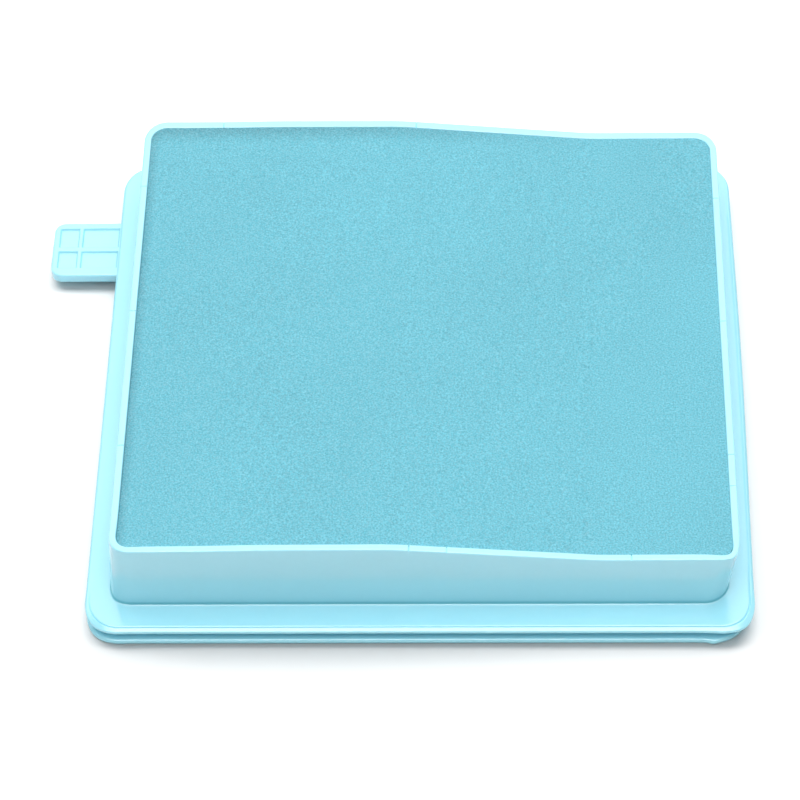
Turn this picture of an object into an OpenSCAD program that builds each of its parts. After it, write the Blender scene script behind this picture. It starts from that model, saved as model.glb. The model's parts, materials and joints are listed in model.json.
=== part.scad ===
// Foam filter cassette: a soft flanged box frame with a bendable pull tab. A rigid grid in its floor
// carries a pleated filter pack, and a contoured foam pad lies over the pack, level with the rim.

/* [Flange] */
// Width of the sealing flange, left to right
flange_w = 136; // [120:1:160]
// Depth of the sealing flange, front to rear
flange_d = 125; // [110:1:150]
// Corner radius of the flange
flange_r = 7.7; // [7:0.1:12]
// Thickness of the lower sealing lip
lower_lip_t = 1.3; // [1:0.1:2]
// Height of the groove between the two lips
groove_h = 2; // [1:0.1:2.4]
// Thickness of the upper lip, whose top is the flange's face
upper_lip_t = 1.3; // [1:0.1:1.6]
// How deep the groove runs in from the flange's edge
groove_depth = 3; // [2:0.1:3.2]
// How far the lower lip's edge sits inside the upper lip's edge
lower_lip_inset = 0; // [0:0.1:1.2]
// Width of the edge bead that a fine crease marks off on the flange's face
bead_w = 0.95; // [0.8:0.05:1.6]

/* [Box wall] */
// Outside width of the box wall
box_w = 125.9; // [108:0.1:128]
// Outside depth of the box wall
box_d = 114.6; // [98:0.1:116]
// Outside corner radius of the box wall
box_r = 5.2; // [4.5:0.1:8]
// Wall thickness
wall_t = 1.75; // [1.4:0.05:2.2]
// Sideways offset of the box on the flange, to the right
box_x = 0; // [-1:0.1:1.5]
// Rearward offset of the box on the flange
box_y = 1.1; // [-1:0.1:1.5]
// Height of the rim above the flange's face in its left half
rim_h_left = 19.2; // [17:0.1:22]
// Height of the rim above the flange's face at its right end
rim_h_right = 14.9; // [13:0.1:16]
// Where the rim starts to fall, from the box's centre
fall_x0 = -8; // [-14:0.5:0]
// Where the rim stops falling, from the box's centre
fall_x1 = 39; // [30:0.5:44]

/* [Pull tab] */
// Length of the tab, from its root to its tip
tab_len = 14.6; // [12:0.1:18]
// Width of the tab
tab_w = 14.3; // [12:0.1:18]
// Thickness of the tab
tab_t = 2.5; // [1.6:0.1:2.8]
// Depth of the four grip pockets
pocket_depth = 0.6; // [0.3:0.1:0.8]
// Distance of the tab's middle behind the flange's middle
tab_y = 38.2; // [20:0.2:40]

/* [Filter pack] */
// Height of the pleated pack
pack_h = 8; // [6:0.5:9]
// Distance between pleats
pleat_pitch = 4; // [3:0.5:6]
// Thickness of the pleated sheet
sheet_t = 0.5; // [0.4:0.1:0.6]
// Thickness of the boards round the pack
board_t = 1.2; // [1:0.1:1.6]
// Thickness of the fleece over the pack
fleece_t = 0.8; // [0.5:0.1:1.2]

/* [Grid] */
// Height of the grid's outer ring
grid_ring_h = 2; // [1.6:0.1:2.6]
// Width of the grid's outer ring
grid_ring_w = 5; // [4:0.5:7]
// Width of one grid rib
rib_w = 1.6; // [1.2:0.1:2]
// Number of ribs that run front to rear
ribs_x = 5; // [3:1:7]
// Number of ribs that run left to right
ribs_y = 4; // [3:1:6]

/* [Hidden] */

$fn = 64;
overlap = 0.01;              // how far joined solids reach into each other
aqua = [0.56, 0.86, 0.88];
teal = [0.30, 0.65, 0.74];
off_white = [0.93, 0.93, 0.90];

flange_top = lower_lip_t + groove_h + upper_lip_t;
cavity_w = box_w - 2 * wall_t;
cavity_d = box_d - 2 * wall_t;
cavity_r = box_r - wall_t;

ledge_t = 1.6;               // floor ledge that the grid sits on
ledge_w = 3.5;
slip = 0.3;                  // clearance round each piece that lifts out
rest_gap = 0.05;             // clearance between stacked pieces

grid_z = ledge_t + rest_gap;
seal_z = grid_z + grid_ring_h + rest_gap;
seal_t = 1;
pack_z = seal_z + seal_t + rest_gap;
fleece_z = pack_z + pack_h + rest_gap;
foam_z = fleece_z + fleece_t + rest_gap;
foam_drop_left = 1.3;        // how far the foam lies below the rim
foam_drop_right = 0.2;

pack_gap = 1.2;              // room between the pack's square corners and the wall's round ones
pack_w = cavity_w - 2 * pack_gap;
pack_d = cavity_d - 2 * pack_gap;

root_gap = 0.08;             // running clearance at the tab's root
hinge_x = -flange_w / 2 - root_gap - tab_t / 2;
tab_tip_x = hinge_x + tab_t / 2 - tab_len;
tab_z = flange_top - tab_t / 2 - 0.3;

// The origin is the middle of the footprint, so the frame's middle is half the tab to the right.
function half_tab_shift() = -(tab_tip_x + flange_w / 2) / 2;

// ---- shared shapes ----

module rounded_rect(w, d, r) {
    square([w - 2 * r, d], center = true);
    square([w, d - 2 * r], center = true);
    for (sx = [-1, 1], sy = [-1, 1])
        translate([sx * (w / 2 - r), sy * (d / 2 - r)]) circle(r);
}

module plate(w, d, r, h) {
    linear_extrude(h) rounded_rect(w, d, r);
}

module ring(w, d, r, band, h) {
    difference() {
        plate(w, d, r, h);
        translate([0, 0, -1]) plate(w - 2 * band, d - 2 * band, max(r - band, 0.6), h + 2);
    }
}

// Sweeps a profile round a rounded rectangle. The profile's x runs outward from the outer edge.
module sweep_round(w, d, r) {
    for (i = [0:3]) {
        long = i % 2 == 0 ? w : d;
        across = i % 2 == 0 ? d : w;
        rotate([0, 0, 90 * i]) {
            translate([long / 2 - r, across / 2 - r, 0]) rotate_extrude(angle = 90)
                translate([r, 0]) children();
            translate([-long / 2 + r, across / 2, 0]) rotate([90, 0, 90])
                linear_extrude(long - 2 * r) children();
        }
    }
}

// Height above the flange's face of a surface that is high on the left and low on the right, with
// a straight fall between two smooth ends.
bend = 0.12;                 // share of the fall that each smooth end takes
function fall_end(t) = t * t / (2 * bend * (1 - bend));
function fall(t) =
    t < bend ? fall_end(t) : t > 1 - bend ? 1 - fall_end(1 - t) : (t - bend / 2) / (1 - bend);
function stepped_h(left, right, x) =
    let (t = min(1, max(0, (x - fall_x0) / (fall_x1 - fall_x0)))) left - (left - right) * fall(t);

// A block as large as the box, from z0 up to a stepped top
module stepped_block(z0, left, right) {
    steps = 24;
    top = [for (i = [0:steps])
        let (x = fall_x0 + (fall_x1 - fall_x0) * i / steps) [x, stepped_h(left, right, x)]];
    outline = concat([[-flange_w, z0], [-flange_w, left]], top, [[flange_w, right], [flange_w, z0]]);
    translate([0, flange_d, 0]) rotate([90, 0, 0]) linear_extrude(2 * flange_d) polygon(outline);
}

// ---- frame ----

module lip_edge(inset, z, t) {
    sweep_round(flange_w - 2 * inset, flange_d - 2 * inset, flange_r - inset)
        translate([-t / 2, z + t / 2]) circle(t / 2);
}

module flange_stack() {
    web_inset = groove_depth;
    half_lower = lower_lip_t / 2;
    half_upper = upper_lip_t / 2;
    lower_inset = lower_lip_inset + half_lower;
    plate(flange_w - 2 * web_inset, flange_d - 2 * web_inset, flange_r - web_inset, flange_top);
    plate(flange_w - 2 * lower_inset, flange_d - 2 * lower_inset, flange_r - lower_inset, lower_lip_t);
    translate([0, 0, flange_top - upper_lip_t])
        plate(flange_w - 2 * half_upper, flange_d - 2 * half_upper, flange_r - half_upper, upper_lip_t);
    lip_edge(lower_lip_inset, 0, lower_lip_t);
    lip_edge(0, flange_top - upper_lip_t, upper_lip_t);
}

module crease() {
    crease_w = 0.24;
    crease_depth = 0.2;
    translate([0, 0, flange_top - crease_depth])
        ring(flange_w - 2 * bead_w, flange_d - 2 * bead_w, flange_r - bead_w, crease_w, 2 * crease_depth);
}

module box_wall() {
    translate([box_x, box_y, 0]) intersection() {
        plate(box_w, box_d, box_r, flange_top + rim_h_left + 1);
        stepped_block(0, flange_top + rim_h_left, flange_top + rim_h_right);
    }
}

module seal_frame() {
    color(aqua) difference() {
        union() {
            flange_stack();
            box_wall();
        }
        crease();
        translate([box_x, box_y, ledge_t]) plate(cavity_w, cavity_d, cavity_r, flange_top + rim_h_left);
        translate([box_x, box_y, -1])
            plate(cavity_w - 2 * ledge_w, cavity_d - 2 * ledge_w, 1, ledge_t + 2);
    }
}

// ---- pull tab ----

module grip_pockets() {
    front_rim = 2;
    rear_rim = 1.3;
    end_rim = 1.1;
    middle_rib = 1.4;
    cross_rib = 0.9;
    short_len = 4.4;
    front_w = 4.5;
    rear_w = tab_w - front_rim - rear_rim - middle_rib - front_w;
    first_x = tab_tip_x + end_rim;
    second_x = first_x + short_len + cross_rib;
    long_len = hinge_x - second_x;
    front_y = tab_y - tab_w / 2 + front_rim;
    rows = [[front_y, front_w], [front_y + front_w + middle_rib, rear_w]];
    for (row = rows, cell = [[first_x, short_len], [second_x, long_len]])
        translate([cell[0], row[0], tab_z + tab_t / 2 - pocket_depth])
            cube([cell[1], row[1], pocket_depth + 1]);
}

module pull_tab() {
    tip_r = 2.6;
    half_w = tab_w / 2;
    color(aqua) difference() {
        union() {
            translate([0, tab_y, tab_z - tab_t / 2]) linear_extrude(tab_t) {
                translate([tab_tip_x + tip_r, -half_w]) square([hinge_x - tab_tip_x - tip_r, tab_w]);
                translate([tab_tip_x, -half_w + tip_r]) square([tip_r + 1, tab_w - 2 * tip_r]);
                for (side = [-1, 1])
                    translate([tab_tip_x + tip_r, side * (half_w - tip_r)]) circle(tip_r);
            }
            translate([hinge_x, tab_y + half_w, tab_z]) rotate([90, 0, 0]) cylinder(h = tab_w, d = tab_t);
        }
        grip_pockets();
    }
}

// ---- support grid ----

module support_grid() {
    w = cavity_w - 2 * slip;
    d = cavity_d - 2 * slip;
    inner_w = w - 2 * grid_ring_w;
    inner_d = d - 2 * grid_ring_w;
    color("white") translate([box_x, box_y, grid_z]) {
        ring(w, d, cavity_r - slip, grid_ring_w, grid_ring_h);
        for (i = [1:ribs_x])
            translate([-inner_w / 2 + i * inner_w / (ribs_x + 1) - rib_w / 2, -inner_d / 2 - 1, 0])
                cube([rib_w, inner_d + 2, grid_ring_h]);
        for (i = [1:ribs_y])
            translate([-inner_w / 2 - 1, -inner_d / 2 + i * inner_d / (ribs_y + 1) - rib_w / 2, 0])
                cube([inner_w + 2, rib_w, grid_ring_h]);
    }
}

module pack_seal() {
    color([0.25, 0.25, 0.27]) translate([box_x, box_y, seal_z])
        ring(cavity_w - 2 * slip, cavity_d - 2 * slip, cavity_r - slip, grid_ring_w - 1, seal_t);
}

// ---- filter pack ----

side_gap = 0.05;
sheet_w = pack_w - 2 * board_t - 2 * side_gap;
sheet_d = pack_d - 2 * board_t - 2 * side_gap;
pleats = floor(sheet_w / pleat_pitch);
thread_h = 0.5;              // height that a glue thread stands over the folds
fold_z0 = thread_h + 0.1;
fold_z1 = pack_h - thread_h - 0.1;

// Zigzag strip, folded along y: the lower side out, then the upper side back
function fold_x(i) = -pleats * pleat_pitch / 2 + i * pleat_pitch / 2;
function fold_y(i) = i % 2 == 0 ? fold_z0 : fold_z1 - sheet_rise;
fold_slope = atan2(fold_z1 - fold_z0, pleat_pitch / 2);
sheet_rise = sheet_t / cos(fold_slope);

module pleated_sheet() {
    folds = 2 * pleats;
    under = [for (i = [0:folds]) [fold_x(i), fold_y(i)]];
    over = [for (i = [folds:-1:0]) [fold_x(i), fold_y(i) + sheet_rise]];
    color(off_white) translate([box_x, box_y + sheet_d / 2, pack_z]) rotate([90, 0, 0])
        linear_extrude(sheet_d) polygon(concat(under, over));
}

module long_board(side) {
    color(off_white)
        translate([box_x - pack_w / 2, box_y + side * (pack_d / 2 - board_t / 2) - board_t / 2, pack_z])
            cube([pack_w, board_t, pack_h]);
}

module short_board(side) {
    color(off_white)
        translate([box_x + side * (pack_w / 2 - board_t / 2) - board_t / 2, box_y - sheet_d / 2, pack_z])
            cube([board_t, sheet_d, pack_h]);
}

module front_board() { long_board(-1); }
module rear_board() { long_board(1); }
module left_board() { short_board(-1); }
module right_board() { short_board(1); }

// Hot-melt threads that hold the folds at their pitch
thread_d = 1;
threads = 3;
module glue_threads(z) {
    pitch = sheet_d / (threads + 1);
    color([0.97, 0.95, 0.86]) for (i = [1:threads])
        translate([box_x - sheet_w / 2 + side_gap, box_y - sheet_d / 2 + i * pitch - thread_d / 2, z])
            cube([sheet_w - 2 * side_gap, thread_d, thread_h]);
}

module upper_glue_threads() { glue_threads(pack_z + fold_z1 + rest_gap); }
module lower_glue_threads() { glue_threads(pack_z + fold_z0 - thread_h - rest_gap); }

// ---- soft layers ----

module prefilter_fleece() {
    color("white") translate([box_x, box_y, fleece_z])
        plate(cavity_w - 2 * slip, cavity_d - 2 * slip, cavity_r - slip, fleece_t);
}

module foam_pad() {
    color(teal) translate([box_x, box_y, 0]) intersection() {
        translate([0, 0, foam_z])
            plate(cavity_w - 2 * slip, cavity_d - 2 * slip, cavity_r - slip, flange_top + rim_h_left);
        stepped_block(0, flange_top + rim_h_left - foam_drop_left,
                      flange_top + rim_h_right - foam_drop_right);
    }
}

module placed() {
    translate([half_tab_shift(), 0, 0]) children();
}

placed() seal_frame();
placed() pull_tab();
placed() support_grid();
placed() pack_seal();
placed() pleated_sheet();
placed() front_board();
placed() rear_board();
placed() left_board();
placed() right_board();
placed() upper_glue_threads();
placed() lower_glue_threads();
placed() prefilter_fleece();
placed() foam_pad();
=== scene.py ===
"""Looks for the soft filter cassette: frame, pull tab, foam and the parts inside, on a pale table."""

import json
import math

import bmesh
import bpy
from mathutils import Matrix, Vector, noise


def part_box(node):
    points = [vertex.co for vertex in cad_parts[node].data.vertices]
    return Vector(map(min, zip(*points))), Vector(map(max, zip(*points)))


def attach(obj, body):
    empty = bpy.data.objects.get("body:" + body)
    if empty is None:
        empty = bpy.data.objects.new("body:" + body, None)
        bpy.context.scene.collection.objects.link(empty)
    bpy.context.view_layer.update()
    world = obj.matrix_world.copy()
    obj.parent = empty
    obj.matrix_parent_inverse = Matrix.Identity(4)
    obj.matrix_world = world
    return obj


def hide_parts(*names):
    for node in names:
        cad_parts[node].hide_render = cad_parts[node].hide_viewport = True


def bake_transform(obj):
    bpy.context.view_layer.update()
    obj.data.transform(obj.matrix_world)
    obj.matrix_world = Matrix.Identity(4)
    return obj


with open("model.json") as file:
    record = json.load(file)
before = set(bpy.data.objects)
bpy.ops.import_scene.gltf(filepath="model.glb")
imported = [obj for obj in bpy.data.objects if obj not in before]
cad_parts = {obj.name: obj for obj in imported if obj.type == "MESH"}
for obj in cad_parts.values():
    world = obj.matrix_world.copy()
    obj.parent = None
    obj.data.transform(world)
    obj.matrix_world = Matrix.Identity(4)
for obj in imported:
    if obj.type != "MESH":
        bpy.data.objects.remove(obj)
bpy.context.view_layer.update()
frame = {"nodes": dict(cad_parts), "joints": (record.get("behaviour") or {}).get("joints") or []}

MM = 0.001


# ---- sizes, in millimetres, read from the CAD nodes where they can be ----

def box_mm(node):
    lo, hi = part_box(node)
    return [v / MM for v in lo], [v / MM for v in hi]


frame_lo, frame_hi = box_mm("seal_frame")
pad_lo, pad_hi = box_mm("foam_pad")
tab_lo, tab_hi = box_mm("pull_tab")

FLANGE_W = frame_hi[0] - frame_lo[0]
FLANGE_D = frame_hi[1] - frame_lo[1]
FLANGE_R = 7.7                   # radius of its corners
FLANGE_C = ((frame_lo[0] + frame_hi[0]) / 2, (frame_lo[1] + frame_hi[1]) / 2)
FLANGE_TOP = 4.6
LIP_T = 1.3                      # thickness of each lip
GROOVE_DEPTH = 3.0               # of the groove between the lips
BEAD_W = 0.95                    # width of the bead along the flange's edge

WALL_T = 1.75                    # thickness of the box's wall
SLIP = 0.3                       # gap between the CAD foam and the wall
BOX_C = ((pad_lo[0] + pad_hi[0]) / 2, (pad_lo[1] + pad_hi[1]) / 2)
CAVITY_W = pad_hi[0] - pad_lo[0] + 2 * SLIP
CAVITY_D = pad_hi[1] - pad_lo[1] + 2 * SLIP
BOX_W = CAVITY_W + 2 * WALL_T
BOX_D = CAVITY_D + 2 * WALL_T
BOX_R = 5.2                      # radius of its corners
LEDGE_T, LEDGE_W = 1.6, 3.5      # the floor ledge that carries the grid
RIM_LEFT = frame_hi[2]
RIM_RIGHT = FLANGE_TOP + 14.9
FALL_X0, FALL_X1 = -9.5, 37.5    # where the rim's fall starts and ends, from the box's centre
FALL_END = 0.12                  # share of the fall that each smooth end takes
FOOT_H = 1.1                     # height of the wall's foot over the flange
RIM_EDGE = 0.3                   # radius of the rim's edges
PLEAT_PITCH = 4.0


def clamp01(t):
    return min(1.0, max(0.0, t))


def smooth(a, b, x):
    t = clamp01((x - a) / (b - a))
    return t * t * (3 - 2 * t)


def bell(x, centre, width):
    return math.exp(-((x - centre) / width) ** 2)


def fall(t):
    """A straight fall from 0 to 1 with a smooth start and end."""
    if t < FALL_END:
        return t * t / (2 * FALL_END * (1 - FALL_END))
    if t > 1 - FALL_END:
        return 1 - (1 - t) ** 2 / (2 * FALL_END * (1 - FALL_END))
    return (t - FALL_END / 2) / (1 - FALL_END)


def stepped(left, right, x):
    """Height at x, in the row frame, of a surface that is high on the left and low on the right."""
    t = clamp01((x - BOX_C[0] - FALL_X0) / (FALL_X1 - FALL_X0))
    return left - (left - right) * fall(t)


def rim_top(x, y):
    wave = 0.08 * noise.noise(Vector((x / 34, y / 30, 3.1)))
    sag = 0.25 * (1 - smooth(-48, -30, x - FLANGE_C[0]))
    return stepped(RIM_LEFT - 0.03, RIM_RIGHT, x) + wave - sag


def wall_lean(x, y, z):
    """How far the soft wall has moved sideways at this height. It leans to the right, its long sides spread
    at the left end and close in at the right, and its near corners are sharper than the rear ones."""
    h = clamp01((z - FLANGE_TOP) / (RIM_LEFT - FLANGE_TOP))
    across = clamp01((x - BOX_C[0]) / BOX_W + 0.5)
    outward = 2 * (y - BOX_C[1]) / BOX_D
    dx = (1.42 + 0.9 * across) * h
    dy = outward * (0.29 - 0.7 * across) * h + 0.1 * h * noise.noise(Vector((x / 40, y / 45, 7.7)))
    for side, share, push in ((1, 0.62 * smooth(0.1, 0.7, h), -1.2), (-1, 0.3, 0)):
        corner = (BOX_C[0] + side * BOX_W / 2, BOX_C[1] - BOX_D / 2)
        near = bell(math.hypot(x - corner[0], y - corner[1]), 0, 4.5)
        dx += near * share * (corner[0] - x + push)
        dy += near * share * (corner[1] - y)
    return dx, dy


# ---- mesh helpers ----

def new_object(name, verts, faces, body):
    """A smooth-shaded mesh object, riding on a body unless body is None."""
    mesh = bpy.data.meshes.new(name)
    mesh.from_pydata([(x * MM, y * MM, z * MM) for x, y, z in verts], [], faces)
    mesh.validate()
    bm = bmesh.new()
    bm.from_mesh(mesh)
    bmesh.ops.recalc_face_normals(bm, faces=bm.faces)
    bm.to_mesh(mesh)
    bm.free()
    for p in mesh.polygons:
        p.use_smooth = True
    obj = bpy.data.objects.new(name, mesh)
    bpy.context.scene.collection.objects.link(obj)
    if body:
        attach(obj, body)
    return obj


def dress(obj, mat, node):
    """Give a piece its material and hide the CAD part that it replaces."""
    obj.data.materials.append(mat)
    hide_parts(node)


def ring_points(w, d, r, centre, sides, corners):
    """Points round a rounded rectangle, counter-clockwise from the right side's front end. sides holds, for
    each side, how far along it each point lies, from 0 to 1, and corners the same for all four corners."""
    cx, cy = centre
    a, b = w / 2 - r, d / 2 - r
    ends = [((w / 2, -b), (w / 2, b)), ((a, d / 2), (-a, d / 2)),
            ((-w / 2, b), (-w / 2, -b)), ((-a, -d / 2), (a, -d / 2))]
    middles = [(a, b), (-a, b), (-a, -b), (a, -b)]
    points = []
    for i in range(4):
        (x0, y0), (x1, y1) = ends[i]
        points += [(cx + x0 + (x1 - x0) * t, cy + y0 + (y1 - y0) * t) for t in sides[i]]
        for t in corners:
            angle = math.radians(90 * (i + t))
            mx, my = middles[i]
            points.append((cx + mx + r * math.cos(angle), cy + my + r * math.sin(angle)))
    return points


def spaced(n):
    return [i / n for i in range(n + 1)]


def closed_tube(rings):
    """Faces between rings of equal length, where the last ring joins the first."""
    n, m = len(rings), len(rings[0])
    return [(i * m + j, i * m + (j + 1) % m, ((i + 1) % n) * m + (j + 1) % m, ((i + 1) % n) * m + j)
            for i in range(n) for j in range(m)]


def edge_distance(x, y, w, d, r, centre):
    """Distance inside a rounded rectangle from its outline."""
    qx, qy = abs(x - centre[0]) - w / 2 + r, abs(y - centre[1]) - d / 2 + r
    outside = math.hypot(max(qx, 0), max(qy, 0)) + min(max(qx, qy), 0)
    return r - outside


def edge_drop(distance, radius):
    """How far a rounded edge lies below the flat face, this far in from the outline."""
    if distance >= radius:
        return 0.0
    return radius - math.sqrt(max(radius ** 2 - (radius - max(distance, 0)) ** 2, 0))


def fine_ends(length, step, edge):
    """Positions from 0 to length, close together near both ends."""
    near = [edge * f for f in (0, 0.03, 0.1, 0.2, 0.35, 0.55, 0.78)]
    count = max(2, round((length - 2 * edge) / step))
    middle = [edge + (length - 2 * edge) * i / count for i in range(count + 1)]
    return near + middle + [length - v for v in reversed(near)]


def corner_pinch(u, r):
    """How much narrower a rounded rectangle is at each side, this far in from its end."""
    return r - math.sqrt(max(r * r - (r - u) ** 2, 0)) if u < r else 0


def box_faces(nx, ny):
    """Faces of a closed slab whose points are a grid of nx by ny for its top, then another for its bottom."""
    k = nx * ny
    faces = [(base + i * ny + j, base + (i + 1) * ny + j, base + (i + 1) * ny + j + 1, base + i * ny + j + 1)
             for base in (0, k) for i in range(nx - 1) for j in range(ny - 1)]
    rim = ([i * ny for i in range(nx)] + [(nx - 1) * ny + j for j in range(1, ny)]
           + [i * ny + ny - 1 for i in range(nx - 2, -1, -1)] + list(range(ny - 2, 0, -1)))
    return faces + [(a, b, b + k, a + k) for a, b in zip(rim, rim[1:] + rim[:1])]


def slab(name, w, d, r, centre, top, bottom, step, round_top, round_bottom, body, shift):
    """A closed slab with a rounded-rectangle outline. top and bottom give its faces' heights, and shift moves
    each point sideways."""
    xs, ys = fine_ends(w, step, round_top * 1.2), fine_ends(d, step, round_top * 1.2)
    verts = []
    for height, radius, sign in ((top, round_top, -1), (bottom, round_bottom, 1)):
        for u in xs:
            half = d / 2 - corner_pinch(min(u, w - u), r)
            for v in ys:
                x = centre[0] - w / 2 + u
                y = centre[1] + (v / d * 2 - 1) * half
                z = height(x, y) + sign * edge_drop(edge_distance(x, y, w, d, r, centre), radius)
                dx, dy = shift(x, y, z)
                verts.append((x + dx, y + dy, z))
    return new_object(name, verts, box_faces(len(xs), len(ys)), body)


# ---- materials ----

def make_material(name, colour, roughness, noises, bumps=(), subsurface=0.0, radius=(1, 1, 1), sheen=0.0,
                  specular=0.5, flecks=None, shades=(), tint=None):
    """A Principled material with procedural detail.
    noises, at least one, vary the colour: (scale per metre, detail, darker, lighter).
    bumps: (kind, scale per metre, depth in mm).
    flecks: white specks added to the colour as painted highlights, the foam's sparkle: (scale per metre, how
    much white is added).
    shades paint shade over a region by darkening its colour: (how dark, (axis, darkest at, gone at), ...).
    tint: (mesh attribute, colour where the attribute is 1), used for painted shade."""
    mat = bpy.data.materials.new(name)
    mat.use_nodes = True
    nodes, links = mat.node_tree.nodes, mat.node_tree.links
    shader = nodes["Principled BSDF"]
    for key, value in (("Roughness", roughness), ("Specular IOR Level", specular), ("Sheen Weight", sheen),
                       ("Subsurface Weight", subsurface), ("Subsurface Radius", radius),
                       ("Subsurface Scale", MM)):
        shader.inputs[key].default_value = value
    place = nodes.new("ShaderNodeTexCoord").outputs["Object"]

    def combine(operation, first, second):
        node = nodes.new("ShaderNodeMath")
        node.operation = operation
        for socket, value in zip(node.inputs, (first, second)):
            if isinstance(value, (int, float)):
                socket.default_value = value
            else:
                links.new(value, socket)
        return node.outputs["Value"]

    def noise_at(position, scale, detail):
        tex = nodes.new("ShaderNodeTexNoise")
        tex.inputs["Scale"].default_value, tex.inputs["Detail"].default_value = scale, detail
        links.new(position, tex.inputs["Vector"])
        return tex.outputs["Fac"]

    def ranged(value, start, end, low, high, interpolation="LINEAR"):
        ramp = nodes.new("ShaderNodeMapRange")
        ramp.interpolation_type = interpolation
        for key, number in (("From Min", start), ("From Max", end), ("To Min", low), ("To Max", high)):
            ramp.inputs[key].default_value = number
        links.new(value, ramp.inputs["Value"])
        return ramp.outputs["Result"]

    factors = [ranged(noise_at(place, scale, detail), 0.3, 0.7, darker, lighter)
               for scale, detail, darker, lighter in noises]
    for dark, *ramps in shades:
        for axis, dark_at, gone_at in ramps:
            split = nodes.new("ShaderNodeSeparateXYZ")
            links.new(place, split.inputs["Vector"])
            region = ranged(split.outputs[axis], dark_at, gone_at, 1, 0, "SMOOTHSTEP")
            dark = combine("MULTIPLY", dark, region)
        factors.append(combine("SUBTRACT", 1, dark))
    light = factors[0]
    for factor in factors[1:]:
        light = combine("MULTIPLY", light, factor)
    scaled = nodes.new("ShaderNodeVectorMath")
    scaled.operation = "SCALE"
    scaled.inputs[0].default_value = colour
    links.new(light, scaled.inputs["Scale"])
    out = scaled.outputs["Vector"]
    if flecks:
        offset, add = nodes.new("ShaderNodeVectorMath"), nodes.new("ShaderNodeVectorMath")
        offset.inputs[1].default_value = (0.37, 0.11, 0.23)      # keeps the flecks clear of the other noises
        links.new(place, offset.inputs[0])
        links.new(out, add.inputs[0])
        grain = noise_at(offset.outputs["Vector"], flecks[0], 2)
        links.new(ranged(grain, 0.35, 0.75, 0, flecks[1]), add.inputs[1])
        out = add.outputs["Vector"]
    if tint:
        mark, mix = nodes.new("ShaderNodeAttribute"), nodes.new("ShaderNodeMix")
        mark.attribute_name = tint[0]
        mix.data_type = "RGBA"
        links.new(mark.outputs["Fac"], mix.inputs["Factor"])
        links.new(out, mix.inputs["A"])
        mix.inputs["B"].default_value = (*tint[1], 1)
        out = mix.outputs["Result"]
    links.new(out, shader.inputs["Base Color"])

    normal = None
    for kind, scale, depth in bumps:
        if kind == "cells":
            cells = nodes.new("ShaderNodeTexVoronoi")
            cells.inputs["Scale"].default_value = scale
            links.new(place, cells.inputs["Vector"])
            height = cells.outputs["Distance"]
        else:
            height = noise_at(place, scale, 3)
        bump = nodes.new("ShaderNodeBump")
        bump.inputs["Distance"].default_value = depth * MM
        links.new(height, bump.inputs["Height"])
        if normal:
            links.new(normal, bump.inputs["Normal"])
        normal = bump.outputs["Normal"]
    if normal:
        links.new(normal, shader.inputs["Normal"])
    return mat


# Painted shade: the foam's colour is darkened beside the left wall, and beside the rear wall fading out
# towards its right end, standing in for the shade next to the rim
foam_left, foam_rear = (BOX_C[0] - CAVITY_W / 2 + 1.4) * MM, (BOX_C[1] + CAVITY_D / 2) * MM
foam_shades = [(0.22, ("X", foam_left, foam_left + 2.4 * MM)),
               (0.25, ("Y", foam_rear, foam_rear - 5 * MM), ("X", foam_left + 45 * MM, foam_left + 100 * MM))]

# The rubber's tint is painted shade: a darker colour at the wall's foot, where it meets the flange
aqua = make_material("aqua_rubber", (0.35, 0.75, 0.87), 0.15, specular=1.0, subsurface=0.12,
                     radius=(0.7, 1.3, 1.6), tint=("foot", (0.14, 0.53, 0.64)),
                     noises=[(30, 2, 0.985, 1.0), (900, 2, 0.99, 1.0)],
                     bumps=[("noise", 5000, 0.001), ("noise", 160, 0.006)])
# The foam's white flecks are painted highlights standing in for its sparkle
foam_mat = make_material("foam", (0.116, 0.412, 0.506), 0.95, specular=0.25, sheen=0.15,
                         noises=[(25, 3, 0.96, 1.03), (2900, 3, 0.78, 1.22)],
                         bumps=[("cells", 3200, 0.1), ("noise", 5200, 0.06)],
                         flecks=(2700, 0.08), shades=foam_shades)
grid_mat = make_material("grid_plastic", (0.72, 0.76, 0.76), 0.5, noises=[(60, 2, 0.96, 1.0)],
                         bumps=[("noise", 3000, 0.008)])
gasket_mat = make_material("gasket_rubber", (0.035, 0.037, 0.04), 0.8, noises=[(900, 2, 0.8, 1.2)],
                           bumps=[("cells", 1500, 0.08)])
paper_mat = make_material("filter_paper", (0.80, 0.80, 0.74), 0.9, specular=0.2,
                          noises=[(80, 3, 0.93, 1.0), (2500, 4, 0.9, 1.05)], bumps=[("noise", 2200, 0.05)])
board_mat = make_material("pressed_board", (0.74, 0.71, 0.62), 0.85, specular=0.2,
                          noises=[(120, 3, 0.92, 1.02), (1800, 4, 0.9, 1.06)], bumps=[("noise", 1500, 0.04)])
glue_mat = make_material("hot_melt", (0.82, 0.76, 0.55), 0.2, subsurface=0.3, radius=(1, 0.9, 0.6),
                         noises=[(200, 2, 0.95, 1.0)], bumps=[("noise", 500, 0.03)])
fleece_mat = make_material("fleece", (0.84, 0.86, 0.86), 0.95, specular=0.15, sheen=0.3,
                           noises=[(60, 3, 0.94, 1.0), (3000, 4, 0.85, 1.08)], bumps=[("noise", 1800, 0.15)])


# ---- frame ----

RIGHT, REAR, LEFT, NEAR = range(4)

# Fine marks across the rim: (side, position from the flange's middle, depth)
RIM_MARKS = [(RIGHT, 39.1, 0.5), (RIGHT, 4.9, 0.5), (RIGHT, -30.0, 0.5), (RIGHT, -37.9, 0.28),
             (REAR, -45.6, 0.6), (REAR, -3.3, 0.6), (LEFT, 39.8, 0.5), (LEFT, 5.3, 0.5), (LEFT, -29.7, 0.5),
             (NEAR, -3.2, 0.6), (NEAR, 4.3, 0.4), (NEAR, 41.1, 0.4)]
MARK_HALF = 0.065                # half of a mark's width


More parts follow.
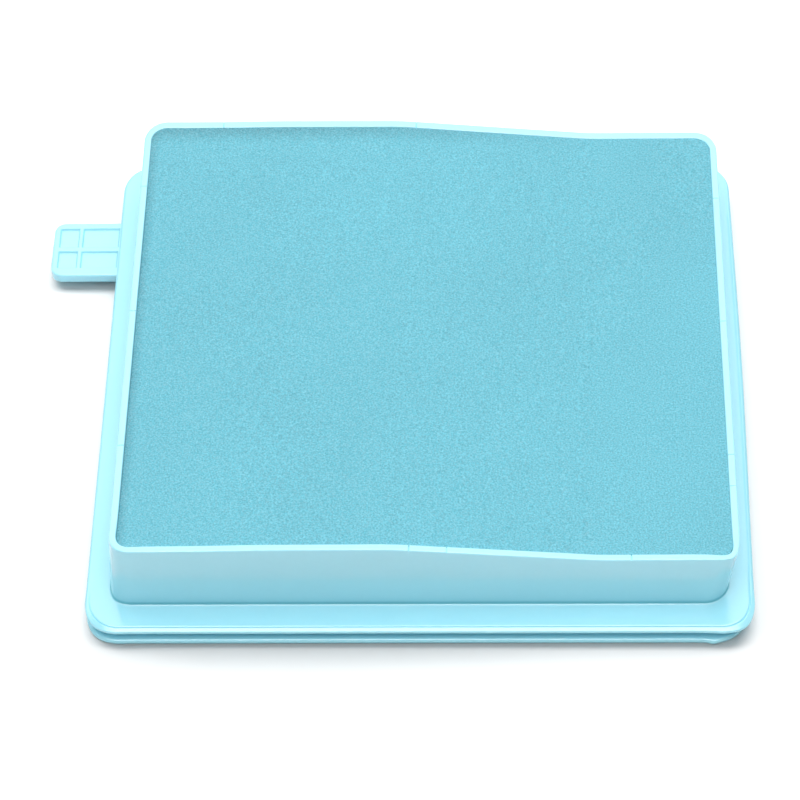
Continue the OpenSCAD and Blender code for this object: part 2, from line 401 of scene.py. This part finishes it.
def frame_stations():
    """Positions along each side, with extra ones at the rim marks, and the mark's depth at each of them."""
    long_run, short_run = BOX_W - 2 * BOX_R, BOX_D - 2 * BOX_R
    sides, depths = [], []
    for i in (RIGHT, REAR, LEFT, NEAR):
        axis, run, count = (0, long_run, 190) if i in (REAR, NEAR) else (1, short_run, 170)
        stations = {t: 0.0 for t in spaced(count)}
        for side, place, depth in RIM_MARKS:
            if side != i:
                continue
            t0 = (place + FLANGE_C[axis] - BOX_C[axis]) / run + 0.5
            if i in (REAR, LEFT):
                t0 = 1 - t0
            stations = {t: v for t, v in stations.items() if abs(t - t0) * run > 5 * MARK_HALF}
            for k in range(-4, 5):
                stations[t0 + k * MARK_HALF / run] = 0.0 if abs(k) > 1 else depth
        sides.append(sorted(stations))
        depths.append([stations[t] for t in sides[-1]])
    return sides, depths


def frame_profile():
    """Rings from the floor opening's upper edge, down, out under the lips, over the flange, up the wall and
    back down inside. Each is (share of the box outline, offset from the flange outline, offset from the box
    outline, height kind, height, how much of a rim mark reaches it)."""
    opening = -(WALL_T + LEDGE_W)
    rows = []

    def fixed(share, off_flange, off_box, z):
        rows.append((share, off_flange, off_box, "fixed", z, 0))

    def lip_round(radius, z, first_angle):
        """A quarter round of the lip's outer edge, about a point at height z."""
        for k in range(6):
            a = math.radians(first_angle + 18 * k)
            fixed(0, -radius + radius * math.cos(a), 0, z + radius * math.sin(a))

    # Floor opening and underside
    for step, z in ((0.3, LEDGE_T), (0.08, LEDGE_T - 0.08), (0, LEDGE_T - 0.3),
                    (0, 0.3), (0.08, 0.08), (0.3, 0)):
        fixed(1, 0, opening + step, z)
    fixed(0.4, -3, -3.5, 0)
    fixed(0, -GROOVE_DEPTH, 0, 0)

    # Lower lip, groove and the upper lip's lower edge
    lower_round, upper_round, groove_top = 0.55, 0.5, FLANGE_TOP - LIP_T
    lip_round(lower_round, lower_round, -90)
    lip_round(lower_round, LIP_T - lower_round, 0)
    for off, z in ((-1.9, LIP_T), (-2.75, LIP_T), (-2.93, LIP_T + 0.07), (-3, LIP_T + 0.25),
                   (-3, groove_top - 0.25), (-2.93, groove_top - 0.07), (-2.75, groove_top),
                   (-1.6, groove_top)):
        fixed(0, off, 0, z)
    lip_round(upper_round, groove_top + upper_round, -90)

    # Bead, its crease, the flange and the wall's foot
    for off, drop in ((0, 0.55), (-0.03, 0.44), (-0.09, 0.35), (-0.18, 0.29), (-0.4, 0.2), (-0.6, 0.1),
                      (-0.75, 0.02)):
        fixed(0, off, 0, FLANGE_TOP - drop)
    for off, drop in ((0.12, 0.02), (0.1, 0.06), (0.09, 0.42), (-0.09, 0.42), (-0.1, 0.09), (-0.13, 0.05),
                      (-0.4, 0.05)):
        fixed(0, -BEAD_W + off, 0, FLANGE_TOP - drop)
    for share in (0.25, 0.5, 0.75):
        fixed(share, -BEAD_W - 0.5, 0.6, FLANGE_TOP - 0.05 * (1 - share))
    for off, rise in ((0.45, 0), (0.27, 0.02), (0.14, 0.08), (0.05, 0.17), (0, 0.32), (0, 0.7),
                      (-0.01, FOOT_H)):
        fixed(1, 0, off, FLANGE_TOP + rise)

    # Wall, rim and the wall's inside
    draft = 0.2                                   # per side
    for k in range(1, 12):
        rows.append((1, 0, -draft * k / 12, "wall_out", k / 12, 0))
    angles = [math.radians(22.5 * k) for k in range(5)]
    quarter = [(RIM_EDGE * (1 - math.cos(a)), RIM_EDGE * (math.sin(a) - 1)) for a in angles]
    for k, (inset, z) in enumerate(quarter):
        rows.append((1, 0, -draft - inset, "rim", z, 0.15 * k))
    for off, mark in ((0.6, 0.7), (0.9, 1), (1.2, 1)):
        rows.append((1, 0, -draft - off, "rim", 0, mark))
    for inset, z in reversed(quarter):
        rows.append((1, 0, -WALL_T + inset, "rim", z, 1))
    for k in range(11, 0, -1):
        rows.append((1, 0, -WALL_T, "wall_in", k / 12, 0))
    for step, rise in ((0, 0.3), (0.08, 0.08), (0.3, 0), (1.6, 0)):
        fixed(1, 0, -WALL_T - step, LEDGE_T + rise)
    return rows


def soft_edge(x, y, z, out):
    """Small give of the flange's lips, which aren't quite flat or straight. out is how far out on the lip a
    point is, from 0 to 1."""
    dz = 0.05 * out * noise.noise(Vector((x / 25, y / 25, 1.3)))
    along, lower = x - FLANGE_C[0], z < FLANGE_TOP / 2
    dx = 0.6 * out * smooth(40, 70, along) * bell(y, 5, 45)
    front = out * (1 - smooth(-60, -52, y - FLANGE_C[1]))
    dy = -front * (0.45 if lower else 0.24)
    if lower:                                     # the lower lip is tucked in at the near right corner
        tuck = out * (1 - smooth(-56, -34, y))
        dy += tuck * (1.5 * smooth(59.2, 66.5, along) - 0.3 * bell(along, 59.6, 1.1))
        dx -= 0.9 * tuck * smooth(62, 67, along)
    for side, end, pull in ((-1, -1, 0.7), (1, -1, 1.35), (-1, 1, 0.45)):      # the sharper corners
        reach_x, reach_y = side * FLANGE_W / 2 - along, end * FLANGE_D / 2 - (y - FLANGE_C[1])
        near = out * pull * bell(math.hypot(reach_x, reach_y), 0, 5)
        dx += 0.5 * near * side
        dy += near * end
    return dx, dy, dz


def bead_drop(x, y, off, drop):
    """How far the flange's top lies below its highest level. The bead's crease fades out along the left and
    right sides, and the bead's face is flat on the left and leans inward on the right."""
    if off > -0.25 or off < -BEAD_W - 0.2:
        return drop
    along = x - FLANGE_C[0]
    left = smooth(60, 64, -along) * smooth(-59, -53, y - FLANGE_C[1])
    right = smooth(60, 64, along) * smooth(-59, -46, y - FLANGE_C[1])
    if off > -BEAD_W + 0.14:
        drop += left * (0.05 - drop) + right * (0.03 + 0.2 * (-off - 0.3) - drop)
    else:
        drop += left * (0.05 - drop) + right * (max(0.16, 0.3 * drop) - drop)
    return drop


def build_frame():
    """The whole soft moulding as one closed tube of rings."""
    sides, depths = frame_stations()
    corners = [k / 20 for k in range(1, 20)]
    marks = []
    for i in range(4):
        marks += depths[i] + [0.0] * len(corners)
    rings, foot = [], []
    for share, off_flange, off_box, kind, z, mark in frame_profile():
        dark = 0.0                                # painted shade: the wall's foot is coloured darker
        if kind == "fixed" and share == 1 and off_box > -0.1:
            dark = smooth(0.03, 0.12, z - FLANGE_TOP) * (1 - smooth(0.2, 1.3, z - FLANGE_TOP))
        outer = ring_points(FLANGE_W + 2 * off_flange, FLANGE_D + 2 * off_flange,
                            max(FLANGE_R + off_flange, 0.8), FLANGE_C, sides, corners)
        inner = ring_points(BOX_W + 2 * off_box, BOX_D + 2 * off_box,
                            max(BOX_R + off_box, 0.8), BOX_C, sides, corners)
        ring = []
        for (fx, fy), (bx, by), depth in zip(outer, inner, marks):
            x, y = fx + (bx - fx) * share, fy + (by - fy) * share
            h = z
            if kind == "rim":
                h = rim_top(x, y) + z - depth * mark
            elif kind == "wall_out":
                h = FLANGE_TOP + FOOT_H + (rim_top(x, y) - RIM_EDGE - FLANGE_TOP - FOOT_H) * z
            elif kind == "wall_in":
                h = LEDGE_T + 0.3 + (rim_top(x, y) - RIM_EDGE - LEDGE_T - 0.3) * z
            dz = 0.0
            if share > 0:
                dx, dy = (share * v for v in wall_lean(x, y, h))
                if kind != "wall_in" and off_box > -0.6:          # the rear wall is a little thicker
                    dy += 0.32 * smooth(-4, -1, y - BOX_C[1] - BOX_D / 2) * clamp01((h - FLANGE_TOP) / 12)
            else:
                if h > FLANGE_TOP - 0.5:
                    h = FLANGE_TOP - bead_drop(x, y, off_flange, FLANGE_TOP - h)
                dx, dy, dz = soft_edge(x, y, h, clamp01((off_flange + GROOVE_DEPTH) / GROOVE_DEPTH))
                if h < 0.02:
                    dz = 0
            ring.append((x + dx, y + dy, max(h + dz, 0)))
        rings.append(ring)
        foot += [dark] * len(ring)
    verts = [p for ring in rings for p in ring]
    obj = new_object("frame_moulding", verts, closed_tube(rings), "frame")
    obj.data.attributes.new("foot", "FLOAT", "POINT").data.foreach_set("value", foot)
    dress(obj, aqua, "seal_frame")


build_frame()


# ---- pull tab ----

def build_tab():
    """A soft tongue with four shallow grip pockets. Its bend where it meets the flange is not set up here."""
    front, rear = tab_lo[1] - 0.3, tab_hi[1] + 0.55      # its long edges bulge past their nominal lines
    tip, mid_y = tab_lo[0], (front + rear) / 2
    root = 0.75                                   # how far the tab runs into the flange's upper lip
    length, width = tab_hi[0] - tip + root, rear - front
    corner, edge, step = 2.5, 0.4, 0.12           # corner radius, edge radius, and the mesh's spacing
    pocket_depth, soft = 0.6, 0.12
    front_rim, rear_rim, end_rim, middle_rib, cross_rib = 2.3, 1.65, 1.4, 1.25, 0.95
    short_len, front_w = 4.15, 4.6                # the end pockets' length and the front pockets' width
    end_x, middle_y = tip + end_rim + short_len, front + front_rim + front_w
    pockets = [(x0, x1, y0, y1)
               for y0, y1 in ((front + front_rim, middle_y), (middle_y + middle_rib, rear - rear_rim))
               for x0, x1 in ((tip + end_rim, end_x), (end_x + cross_rib, tab_hi[0] - 0.1))]

    def pocket(x, y):
        inside = max(min(x - x0, x1 - x, y - y0, y1 - y) for x0, x1, y0, y1 in pockets)
        return pocket_depth * smooth(-soft, soft, inside)

    us = [edge * f for f in (0, 0.03, 0.1, 0.22, 0.4, 0.65)]
    us += [edge + i * step for i in range(int((length - edge) / step) + 1)]
    vs = fine_ends(width, step, edge)
    outline = 2 * (length + 4)                    # an outline so long that only its left end is rounded off
    verts = []
    for sign, face in ((-1, tab_hi[2]), (1, tab_lo[2])):
        for u in us:
            half = width / 2 - corner_pinch(u, corner)
            for v in vs:
                x, y = tip + u, mid_y + (v / width * 2 - 1) * half
                inset = edge_distance(x, y, outline, width, corner, (tip + outline / 2, mid_y))
                z = face + sign * edge_drop(inset, edge)
                verts.append((x, y, z - pocket(x, y) if sign < 0 else z))
    obj = new_object("finger_tab", verts, box_faces(len(us), len(vs)), None)
    x, y, z = [j for j in frame["joints"] if j["name"] == "tab_bend"][0]["pos_m"]
    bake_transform(obj)
    dress(obj, aqua, "pull_tab")


build_tab()


# ---- foam ----

def foam_top(x, y):
    """The pad lies below the rim on the left and level with it on the right, and has faint dents and two soft
    creases at the bend."""
    along = x - FLANGE_C[0]
    left, right = RIM_LEFT - 0.15 - 0.85 * (1 - smooth(28, 56, y - BOX_C[1])), RIM_RIGHT - 0.2
    z = stepped(left, right, x)
    z += 0.35 * smooth(40, 62, along) * smooth(20, 55, y)
    z += 0.16 * noise.noise(Vector((x / 22, y / 26, 0.4))) + 0.05 * noise.noise(Vector((x / 5, y / 5, 2.2)))
    crease = smooth(4, 16, y) * (1 - smooth(44, 52, y))
    return z + 0.22 * crease * (bell(along, 20.5, 1.0) + bell(along, 28.5 - 0.05 * y, 1.1))


def build_foam():
    """The pad fills the box and leans with its wall."""
    obj = slab("foam_pad_soft", CAVITY_W - 0.02, CAVITY_D - 0.02, BOX_R - WALL_T, BOX_C,
               foam_top, lambda x, y: pad_lo[2], 0.8, 0.12, 0.4, "foam", wall_lean)
    dress(obj, foam_mat, "foam_pad")


build_foam()


# ---- parts inside ----

def superellipse(count, power_u, power_v):
    """Points round a section with flat sides and rounded corners, each from -1 to 1."""
    points = []
    for k in range(count):
        angle = 2 * math.pi * (k + 0.5) / count
        c, s = math.cos(angle), math.sin(angle)
        points.append((math.copysign(abs(c) ** power_u, c), math.copysign(abs(s) ** power_v, s)))
    return points


def build_gasket():
    """A soft ring with rounded edges, not quite even in height."""
    lo, hi = box_mm("pack_seal")
    w, d, band = hi[0] - lo[0], hi[1] - lo[1], 4.0
    r, mid, half = BOX_R - WALL_T - SLIP, (lo[2] + hi[2]) / 2, (hi[2] - lo[2]) / 2
    sides = [spaced(70 if i % 2 else 64) for i in range(4)]
    corners = [k / 8 for k in range(1, 8)]
    rings = []
    for u, v in superellipse(24, 0.3, 0.5):
        off = (u - 1) * band / 2
        ring = ring_points(w + 2 * off, d + 2 * off, max(r + off, 0.8), BOX_C, sides, corners)
        rings.append([(x, y, mid + v * half * (0.93 + 0.06 * noise.noise(Vector((x / 9, y / 9, 5)))))
                      for x, y in ring])
    obj = new_object("gasket_ring", [p for ring in rings for p in ring], closed_tube(rings), "pack")
    dress(obj, gasket_mat, "pack_seal")


def build_pleats():
    """One folded sheet: straight flanks between rounded folds, which wander a little from front to rear."""
    lo, hi = box_mm("pleated_sheet")
    flanks = 2 * round((hi[0] - lo[0]) / PLEAT_PITCH)
    run, thick, radius = (hi[0] - lo[0]) / flanks, 0.5, 0.42
    slope = math.atan2(hi[2] - lo[2], run)
    bottom, top = lo[2] + thick / 2, hi[2] - thick / 2
    path = []                                     # centre line in x and z, with the direction of its normal
    for i in range(flanks + 1):
        x, upper = lo[0] + i * run, i % 2 == 1
        turn = -1 if upper else 1
        centre_z = (top - radius) if upper else (bottom + radius)
        if i == 0 or i == flanks:
            path.append((x, bottom + 0.1, math.radians(90)))
            continue
        for k in range(9):                        # round the fold, from flank to flank
            a = slope * (1 - k / 4)
            nx, nz = turn * math.sin(a), -turn * math.cos(a)
            path.append((x + radius * nx, centre_z + radius * nz, math.atan2(-turn * nz, -turn * nx)))
    depth, rows = hi[1] - lo[1], 36
    verts, n = [], len(path)
    for side in (1, -1):
        for x, z, a in path:
            inward = clamp01((z - lo[2]) / (hi[2] - lo[2]))
            for j in range(rows + 1):
                y = lo[1] + depth * j / rows
                wander = 0.16 * noise.noise(Vector((x / 7, y / 24, round(inward) * 4.0)))
                verts.append((min(max(x + wander + side * thick / 2 * math.cos(a), lo[0]), hi[0]), y,
                              z + side * thick / 2 * math.sin(a)))
    m = rows + 1
    base = n * m
    faces = []
    for i in range(n - 1):
        for j in range(rows):
            q = (i * m + j, i * m + j + 1, (i + 1) * m + j + 1, (i + 1) * m + j)
            faces += [q, tuple(base + k for k in reversed(q))]
        for j in (0, rows):
            faces.append((i * m + j, (i + 1) * m + j, base + (i + 1) * m + j, base + i * m + j))
    for i in (0, n - 1):
        faces += [(i * m + j, i * m + j + 1, base + i * m + j + 1, base + i * m + j) for j in range(rows)]
    dress(new_object("folded_paper", verts, faces, "pack"), paper_mat, "pleated_sheet")


def build_threads(node, name, towards_folds):
    """Three glue beads that swell where they cross each fold. towards_folds is 1 if the folds they lie on are
    above them, and -1 if below."""
    lo, hi = box_mm(node)
    bead_w = 1.0
    first, last = lo[1] + bead_w / 2, hi[1] - bead_w / 2
    section = superellipse(12, 0.8, 0.7)
    run = hi[0] - lo[0]
    steps = 12 * round(run / PLEAT_PITCH)
    verts, faces = [], []
    for b in range(3):
        y0 = first + (last - first) * b / 2
        start = len(verts)
        for i in range(steps + 1):
            x = lo[0] + run * i / steps
            phase = towards_folds * math.cos(2 * math.pi * (x - BOX_C[0]) / PLEAT_PITCH)
            swell = 0.72 + 0.2 * phase + 0.08 * noise.noise(Vector((x / 1.5, y0, 3)))
            end = min(1.0, 0.25 + 2 * min(i, steps - i) / 6)
            wander = 0.12 * noise.noise(Vector((x / 9, y0, 8)))
            for u, v in section:
                half_h = (hi[2] - lo[2]) / 2
                z = (lo[2] + hi[2]) / 2 + half_h * (v * swell * end + towards_folds * (1 - swell * end))
                verts.append((x, y0 + wander * end + u * bead_w / 2 * swell * end * 0.85, z))
        m = len(section)
        for i in range(steps):
            q = start + i * m
            faces += [(q + k, q + (k + 1) % m, q + m + (k + 1) % m, q + m + k) for k in range(m)]
        last_ring = start + steps * m
        faces += [tuple(start + k for k in reversed(range(m))), tuple(last_ring + k for k in range(m))]
    dress(new_object(name, verts, faces, "pack"), glue_mat, node)


def build_fleece():
    """A limp sheet with an uneven top and slightly ragged edges."""
    lo, hi = box_mm("prefilter_fleece")

    def top(x, y):
        waves = 0.09 * noise.noise(Vector((x / 16, y / 16, 6)))
        return hi[2] - 0.12 + waves + 0.05 * noise.noise(Vector((x / 3, y / 3, 9)))

    def bottom(x, y):
        return lo[2] + 0.04 + 0.03 * noise.noise(Vector((x / 12, y / 12, 2)))

    def shift(x, y, z):
        dx, dy = wall_lean(x, y, z)
        ragged = 0.12 * noise.noise(Vector((x / 2.5, y / 2.5, 4)))
        return dx + ragged, dy + ragged

    obj = slab("fleece_sheet", hi[0] - lo[0] - 0.1, hi[1] - lo[1] - 0.1, BOX_R - WALL_T - SLIP, BOX_C,
               top, bottom, 1.1, 0.22, 0.15, "fleece", shift)
    dress(obj, fleece_mat, "prefilter_fleece")


def finish_rigid(node, mat, bevel):
    """Material and softened edges for a stiff piece whose CAD shape is right as it is."""
    obj = frame["nodes"][node]
    obj.data.materials.clear()
    obj.data.materials.append(mat)
    mod = obj.modifiers.new("edges", "BEVEL")
    mod.width, mod.segments, mod.limit_method = bevel * MM, 3, "ANGLE"
    mod.angle_limit = math.radians(40)


build_gasket()
build_pleats()
build_threads("upper_glue_threads", "glue_beads_upper", -1)
build_threads("lower_glue_threads", "glue_beads_lower", 1)
build_fleece()
finish_rigid("support_grid", grid_mat, 0.2)
for node in ("front_board", "rear_board", "left_board", "right_board"):
    finish_rigid(node, board_mat, 0.12)


# ---- table, light and camera ----

def build_stage():
    floor_mat = make_material("table", (0.8, 0.8, 0.8), 0.6, noises=[(3, 2, 0.995, 1.0)], specular=0.2)
    bm = bmesh.new()
    bmesh.ops.create_grid(bm, x_segments=8, y_segments=8, size=2.0)
    mesh = bpy.data.meshes.new("table_top")
    bm.to_mesh(mesh)
    bm.free()
    floor = bpy.data.objects.new("table_top", mesh)
    bpy.context.scene.collection.objects.link(floor)
    mesh.materials.append(floor_mat)

    world = bpy.data.worlds.new("studio")
    world.use_nodes = True
    world.node_tree.nodes["Background"].inputs["Color"].default_value = (1, 1, 1, 1)
    world.node_tree.nodes["Background"].inputs["Strength"].default_value = 0.28
    bpy.context.scene.world = world

    # Soft boxes: (name, place, width, depth, power, does it light the table, does it light the object)
    for name, place, width, depth, power, on_table, on_object in (
            ("key", (-0.8, 0.55, 0.85), 0.6, 0.6, 2.2, True, True),
            ("back", (0.15, 0.75, 0.95), 1.2, 1.2, 7.5, True, True),
            ("fill", (0.0, -0.45, 1.15), 0.7, 0.7, 2.2, True, True),
            ("top", (0.0, -0.2, 1.3), 1.1, 1.1, 13.6, False, True),
            ("under_top", (0.0, 0.36, 1.1), 1.6, 0.45, 15.0, True, False)):
        light = bpy.data.lights.new(name, "AREA")
        light.shape, light.size, light.size_y, light.energy = "RECTANGLE", width, depth, power
        obj = bpy.data.objects.new(name, light)
        obj.location = place
        obj.rotation_mode = "QUATERNION"
        obj.rotation_quaternion = (Vector((0, 0, 0.01)) - Vector(place)).to_track_quat("-Z", "Y")
        bpy.context.scene.collection.objects.link(obj)
        if not (on_table and on_object):
            group = bpy.data.collections.new(name + "_lights")
            group.objects.link(floor)
            obj.light_linking.receiver_collection = group
            group.collection_objects[0].light_linking.link_state = "INCLUDE" if on_table else "EXCLUDE"


def build_camera():
    pitch, yaw, roll = math.radians(52.93), math.radians(3.30), math.radians(-2.89)
    sp, cp, sy, cy, sr, cr = (f(a) for a in (pitch, yaw, roll) for f in (math.sin, math.cos))
    tilt = Matrix(((1, 0, 0), (0, -sp, -cp), (0, cp, -sp)))
    turn = Matrix(((cy, sy, 0), (-sy, cy, 0), (0, 0, 1)))
    twist = Matrix(((cr, -sr, 0), (sr, cr, 0), (0, 0, 1)))
    rows = twist @ tilt @ turn
    data = bpy.data.cameras.new("camera")
    data.sensor_width, data.lens = 36, 136.2
    data.clip_start, data.clip_end = 0.02, 20
    cam = bpy.data.objects.new("camera", data)
    bpy.context.scene.collection.objects.link(cam)
    place = Vector((FLANGE_C[0] + 17.8, FLANGE_C[1] - 392.8, FLANGE_TOP + 515.0)) * MM
    world = Matrix((rows[0], -rows[1], -rows[2])).transposed().to_4x4()
    world.translation = place
    cam.matrix_world = world
    bpy.context.scene.camera = cam


build_stage()
build_camera()
bpy.context.scene.view_settings.view_transform = "Standard"
